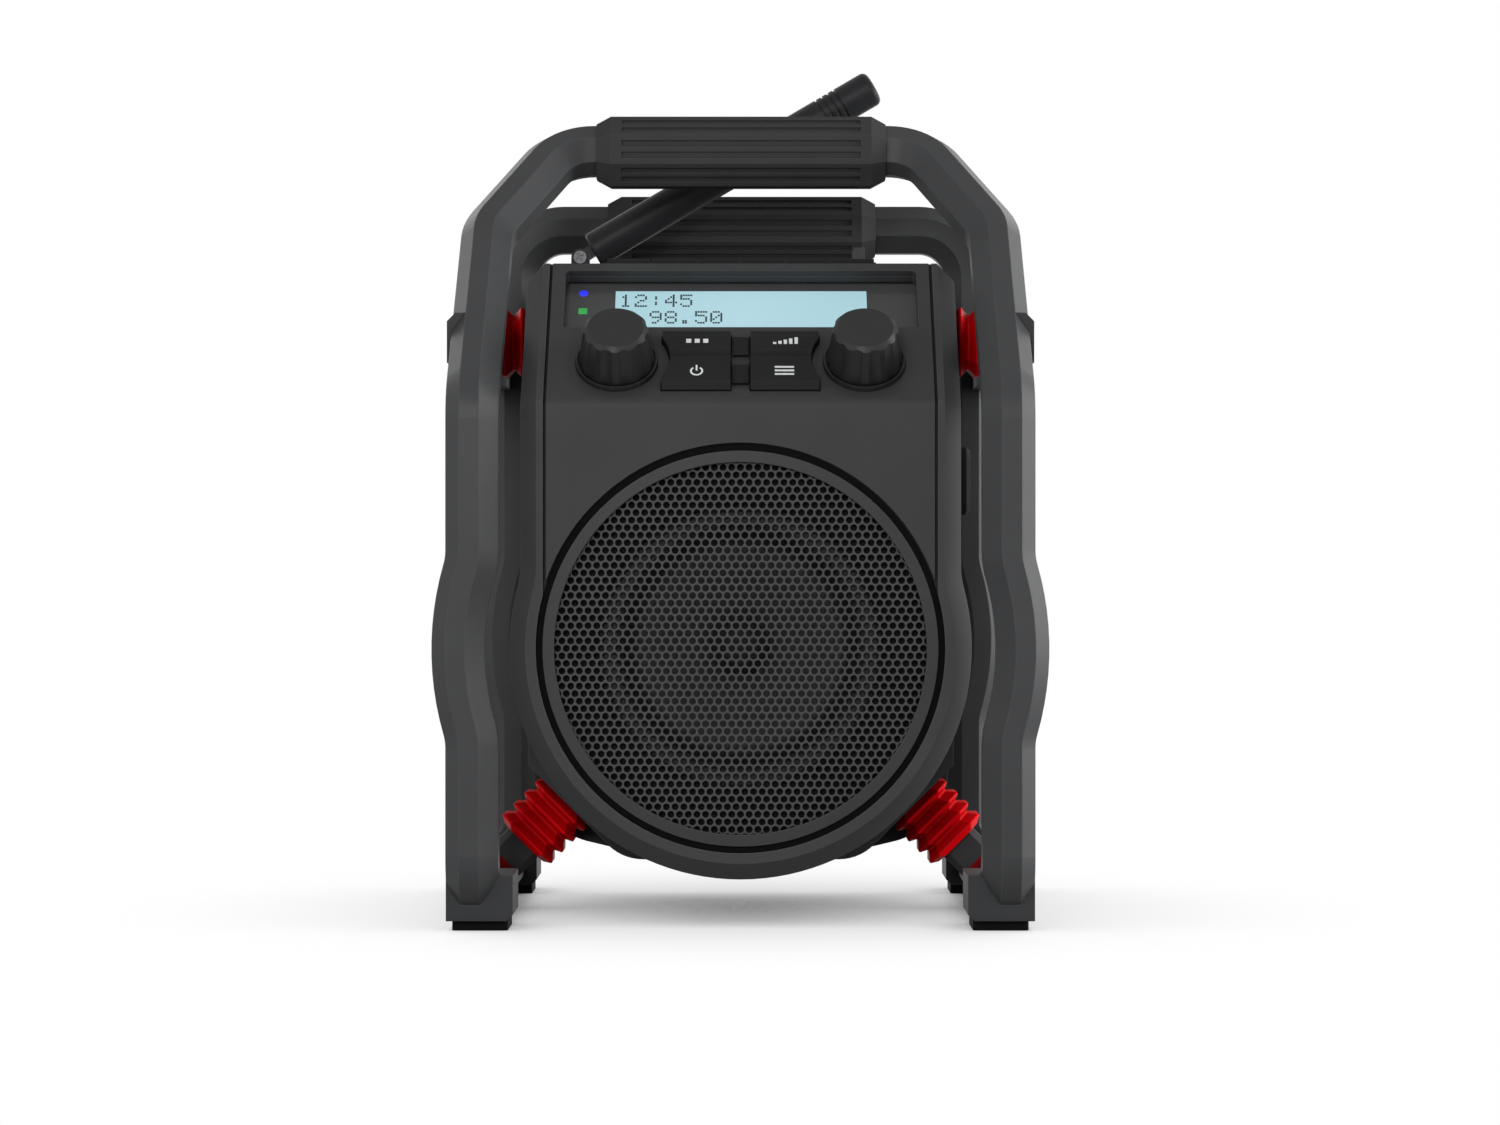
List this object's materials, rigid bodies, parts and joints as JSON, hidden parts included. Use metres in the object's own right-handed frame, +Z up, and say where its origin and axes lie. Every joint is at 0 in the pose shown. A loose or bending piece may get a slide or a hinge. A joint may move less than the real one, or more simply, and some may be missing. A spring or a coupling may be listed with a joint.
{
  "type": "jobsite radio",
  "caption": "Jobsite radio: body with a round speaker grille, sloping control panel and display, slung on red bellows in a bent-tube cage with grips and a folding antenna",
  "frame": {"origin": "centre of the overall box at the standing surface", "axes": "X to the right of a viewer who faces the speaker, front towards -Y, Z up"},
  "size_m": [0.2134, 0.194, 0.3147],
  "materials": {
    "cage_coat": "satin, fine moulded grain",
    "grip_rubber": "soft matte, ribbed",
    "side_member_plastic": "satin, fine moulded grain",
    "foot_rubber": "matte",
    "bolt_steel": "blackened",
    "bellows_red": "satin",
    "strut_plastic": "satin",
    "collar_red": "matte",
    "shell_plastic": "fine moulded grain",
    "fascia_plastic": "satin",
    "bezel_plastic": "semi-gloss",
    "grille_steel": "satin coat",
    "window_clear": "clear",
    "lcd_panel": "lit pale cyan",
    "light_blue": "lit",
    "light_green": "lit",
    "knob_plastic": "satin",
    "knob_ring_plastic": "semi-gloss",
    "key_rubber": "satin",
    "board": "solder mask",
    "switch_metal": "plain",
    "encoder_metal": "plain",
    "basket_steel": "black",
    "magnet_ferrite": "sintered",
    "cone_paper": "pressed paper",
    "surround_rubber": "matte",
    "antenna_metal": "blackened",
    "antenna_rubber": "satin",
    "cell_jacket": "printed-free jacket",
    "contact_nickel": "nickel plate",
    "screw_steel": "blackened",
    "socket_plastic": "plain",
    "mat_rubber": "matte"
  },
  "bodies": {
    "radio": {"front_frame": "cage_coat", "rear_frame": "cage_coat", "front_grip": "grip_rubber", "rear_grip": "grip_rubber", "side_bridge_left": "side_member_plastic", "side_bridge_right": "side_member_plastic", "lower_rail_left": "side_member_plastic", "lower_rail_right": "side_member_plastic", "foot_blocks_front": "side_member_plastic", "foot_blocks_rear": "side_member_plastic", "foot_pads": "foot_rubber", "cage_bolts": "bolt_steel", "upper_bellows_left": "bellows_red", "upper_bellows_right": "bellows_red", "lower_bellows_left": "bellows_red", "lower_bellows_right": "bellows_red", "struts": "strut_plastic", "strut_collars": "collar_red", "front_shell": "shell_plastic", "rear_shell": "shell_plastic", "control_fascia": "fascia_plastic", "speaker_bezel": "bezel_plastic", "speaker_grille": "grille_steel", "shell_screws": "screw_steel", "display_window": "window_clear", "lcd_module": "lcd_panel", "indicator_battery_light": "light_green", "indicator_wireless_light": "light_blue", "encoders": "encoder_metal", "knob_rings": "knob_ring_plastic", "centre_pads": "key_rubber", "key_board": "board", "tact_switches": "switch_metal", "speaker_basket": "basket_steel", "speaker_surround": "surround_rubber", "speaker_cone": "cone_paper", "dust_cap": "cone_paper", "speaker_magnet": "magnet_ferrite", "battery_door_pins": "screw_steel", "battery_cells": "cell_jacket", "battery_contacts": "contact_nickel", "main_board": "board", "power_socket": "socket_plastic", "audio_socket": "socket_plastic", "antenna_base": "antenna_metal", "antenna_clip": "shell_plastic", "top_mat": "mat_rubber"},
    "antenna": {"antenna_fork": "antenna_metal", "antenna_rod": "antenna_rubber", "antenna_screw": "antenna_metal"},
    "volume_knob": {"volume_knob": "knob_plastic"},
    "tuning_knob": {"tuning_knob": "knob_plastic"},
    "button_lower_left": {"button_lower_left": "key_rubber"},
    "button_lower_right": {"button_lower_right": "key_rubber"},
    "button_upper_left": {"button_upper_left": "key_rubber"},
    "button_upper_right": {"button_upper_right": "key_rubber"},
    "battery_door": {"battery_door": "shell_plastic"},
    "battery_door_lock": {"battery_door_lock": "screw_steel"},
    "socket_cover": {"socket_cover": "mat_rubber"}
  },
  "joints": [
    {"name": "antenna_fold", "type": "hinge", "parent": "radio", "child": "antenna", "pos_m": [-0.0615, 0.049, 0.2442], "axis": [0, -1, 0], "range_deg": [-30.3, 85]},
    {"name": "volume_turn", "type": "hinge", "parent": "radio", "child": "volume_knob", "pos_m": [-0.0436, -0.06671, 0.198], "axis": [0, -0.7254, 0.6884], "continuous": true},
    {"name": "tuning_turn", "type": "hinge", "parent": "radio", "child": "tuning_knob", "pos_m": [0.0436, -0.06671, 0.198], "axis": [0, -0.7254, 0.6884], "continuous": true},
    {"name": "button_lower_left_press", "type": "slide", "parent": "radio", "child": "button_lower_left", "axis": [0, 0.7254, -0.6884], "range_m": [0, 0.0008], "stiffness_N_per_m": 1200, "springref_m": -0.001},
    {"name": "button_lower_right_press", "type": "slide", "parent": "radio", "child": "button_lower_right", "axis": [0, 0.7254, -0.6884], "range_m": [0, 0.0008], "stiffness_N_per_m": 1200, "springref_m": -0.001},
    {"name": "button_upper_left_press", "type": "slide", "parent": "radio", "child": "button_upper_left", "axis": [0, 0.7254, -0.6884], "range_m": [0, 0.0008], "stiffness_N_per_m": 1200, "springref_m": -0.001},
    {"name": "button_upper_right_press", "type": "slide", "parent": "radio", "child": "button_upper_right", "axis": [0, 0.7254, -0.6884], "range_m": [0, 0.0008], "stiffness_N_per_m": 1200, "springref_m": -0.001},
    {"name": "battery_door_open", "type": "hinge", "parent": "radio", "child": "battery_door", "pos_m": [0, 0.0745, 0.0514], "axis": [-1, 0, 0], "range_deg": [0, 100]},
    {"name": "battery_door_lock_turn", "type": "hinge", "parent": "battery_door", "child": "battery_door_lock", "pos_m": [0, 0.073, 0.119], "axis": [0, 1, 0], "range_deg": [0, 90]},
    {"name": "socket_cover_open", "type": "hinge", "parent": "radio", "child": "socket_cover", "pos_m": [0.0775, -0.008, 0.145], "axis": [0, 1, 0], "range_deg": [0, 90]}
  ]
}
